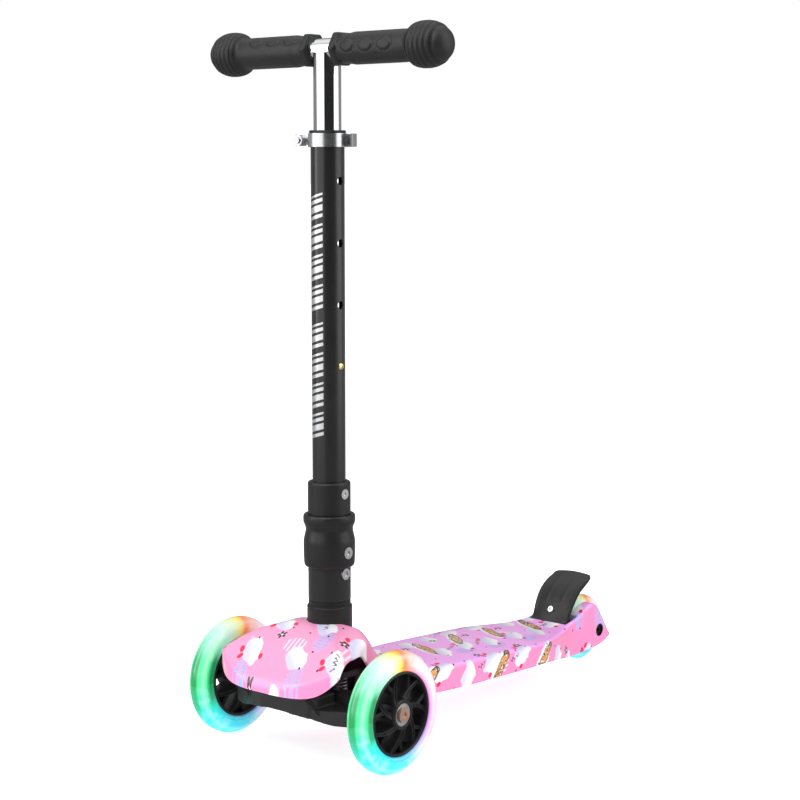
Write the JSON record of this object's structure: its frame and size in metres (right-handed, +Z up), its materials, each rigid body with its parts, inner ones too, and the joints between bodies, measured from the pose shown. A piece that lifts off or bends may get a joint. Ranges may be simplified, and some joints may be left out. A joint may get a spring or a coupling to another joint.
{
  "type": "kick scooter",
  "caption": "Children's kick scooter with large front wheels and a small rear wheel, lean steering, a folding stem, a telescoping handlebar and a rear fender brake.",
  "frame": {"origin": "on the ground, under the middle of the scooter's length and width", "axes": "+Z up the stem, -Y towards the front wheels, +X towards the rider's left, parallel to the wheel axles"},
  "size_m": [0.302, 0.576, 0.7114],
  "materials": {
    "pink_print": "glossy moulded plastic with an all-over print",
    "black_plastic": "satin moulded plastic",
    "black_paint": "satin black powder coat",
    "clear_tyre": "translucent polyurethane, lit from inside",
    "light_band": "clear band holding the lights",
    "chrome": "polished",
    "silver_alloy": "polished",
    "steel": "zinc plated",
    "bronze": "copper-coloured plating",
    "brass": "polished",
    "rubber": "moulded rubber",
    "spring_steel": "drawn wire"
  },
  "bodies": {
    "deck": {"deck_shell": "pink_print", "truck_cover": "pink_print", "deck_bolts": "steel", "cover_screws": "steel", "truck_housing": "black_plastic", "kingpin_bolt": "steel", "kingpin_nut": "steel", "steering_springs": "spring_steel", "stem_base": "black_plastic", "base_ring": "black_plastic", "hinge_lower": "black_paint", "stem_bolt": "steel", "fold_pin": "steel", "fold_nut": "steel", "rear_axle": "steel", "rear_axle_nut": "steel", "rear_spacer": "steel", "brake_pin": "steel", "brake_spring": "spring_steel"},
    "axle_bridge": {"axle_bridge": "black_plastic", "bridge_bushings": "brass", "front_axle_bolts": "bronze", "front_spacers": "steel"},
    "front_wheel_left": {"front_tyre_left": "clear_tyre", "front_core_left": "black_plastic", "front_light_ring_left": "light_band", "front_bearings_left": "steel"},
    "front_wheel_right": {"front_tyre_right": "clear_tyre", "front_core_right": "black_plastic", "front_light_ring_right": "light_band", "front_bearings_right": "steel"},
    "rear_wheel": {"rear_tyre": "clear_tyre", "rear_core": "black_plastic", "rear_light_ring": "light_band", "rear_bearings": "steel"},
    "brake": {"brake_fender": "black_plastic", "brake_pad": "steel", "brake_screw": "steel"},
    "stem": {"hinge_upper": "black_paint", "upper_collar": "black_plastic", "collar_screw": "steel", "outer_tube": "black_paint", "tube_bushing": "black_plastic", "clamp_collar": "silver_alloy", "clamp_bolt": "steel", "clamp_nut": "steel", "clamp_washer": "black_plastic", "clamp_pin": "steel", "sleeve_spring": "spring_steel"},
    "lock_sleeve": {"lock_sleeve": "black_plastic", "guide_screw": "steel"},
    "clamp_lever": {"clamp_lever": "silver_alloy"},
    "handlebar": {"inner_tube": "chrome", "lower_guide": "black_plastic", "crossbar": "chrome", "grip_left": "rubber", "grip_right": "rubber", "button_clip": "spring_steel"},
    "snap_button": {"snap_button": "brass"}
  },
  "joints": [
    {"name": "lean_steer", "type": "hinge", "parent": "deck", "child": "axle_bridge", "pos_m": [0, -0.218, 0.06], "axis": [0, -0.7071, 0.7071], "range_deg": [-10, 10], "stiffness_Nm_per_rad": 60, "deforming": ["steering_springs"]},
    {"name": "front_left_spin", "type": "hinge", "parent": "axle_bridge", "child": "front_wheel_left", "pos_m": [0.106, -0.218, 0.06], "axis": [1, 0, 0], "continuous": true},
    {"name": "front_right_spin", "type": "hinge", "parent": "axle_bridge", "child": "front_wheel_right", "pos_m": [-0.106, -0.218, 0.06], "axis": [1, 0, 0], "continuous": true},
    {"name": "rear_spin", "type": "hinge", "parent": "deck", "child": "rear_wheel", "pos_m": [0, 0.25, 0.038], "axis": [1, 0, 0], "continuous": true},
    {"name": "brake_press", "type": "hinge", "parent": "deck", "child": "brake", "pos_m": [0, 0.192, 0.052], "axis": [-1, 0, 0], "range_deg": [0, 22], "stiffness_Nm_per_rad": 1.2, "springref_deg": -17.19, "deforming": ["brake_spring"]},
    {"name": "fold", "type": "hinge", "parent": "deck", "child": "stem", "pos_m": [0, -0.19, 0.1779], "axis": [-1, 0, 0], "range_deg": [0, 90]},
    {"name": "sleeve_lift", "type": "slide", "parent": "stem", "child": "lock_sleeve", "axis": [0, 0, 1], "range_m": [0, 0.018], "deforming": ["sleeve_spring"]},
    {"name": "lever_open", "type": "hinge", "parent": "stem", "child": "clamp_lever", "pos_m": [-0.028, -0.174, 0.6032], "axis": [0, 0, 1], "range_deg": [0, 150]},
    {"name": "height_adjust", "type": "slide", "parent": "stem", "child": "handlebar", "axis": [0, 0, 1], "range_m": [0, 0.18], "deforming": ["snap_button"]},
    {"name": "button_press", "type": "slide", "parent": "handlebar", "child": "snap_button", "axis": [-1, 0, 0], "range_m": [0, 0.0042], "stiffness_N_per_m": 600, "deforming": ["button_clip"]}
  ],
  "couplings": [
    {"joint": "sleeve_lift", "follows": "fold", "m_per_rad": 0.011449}
  ]
}
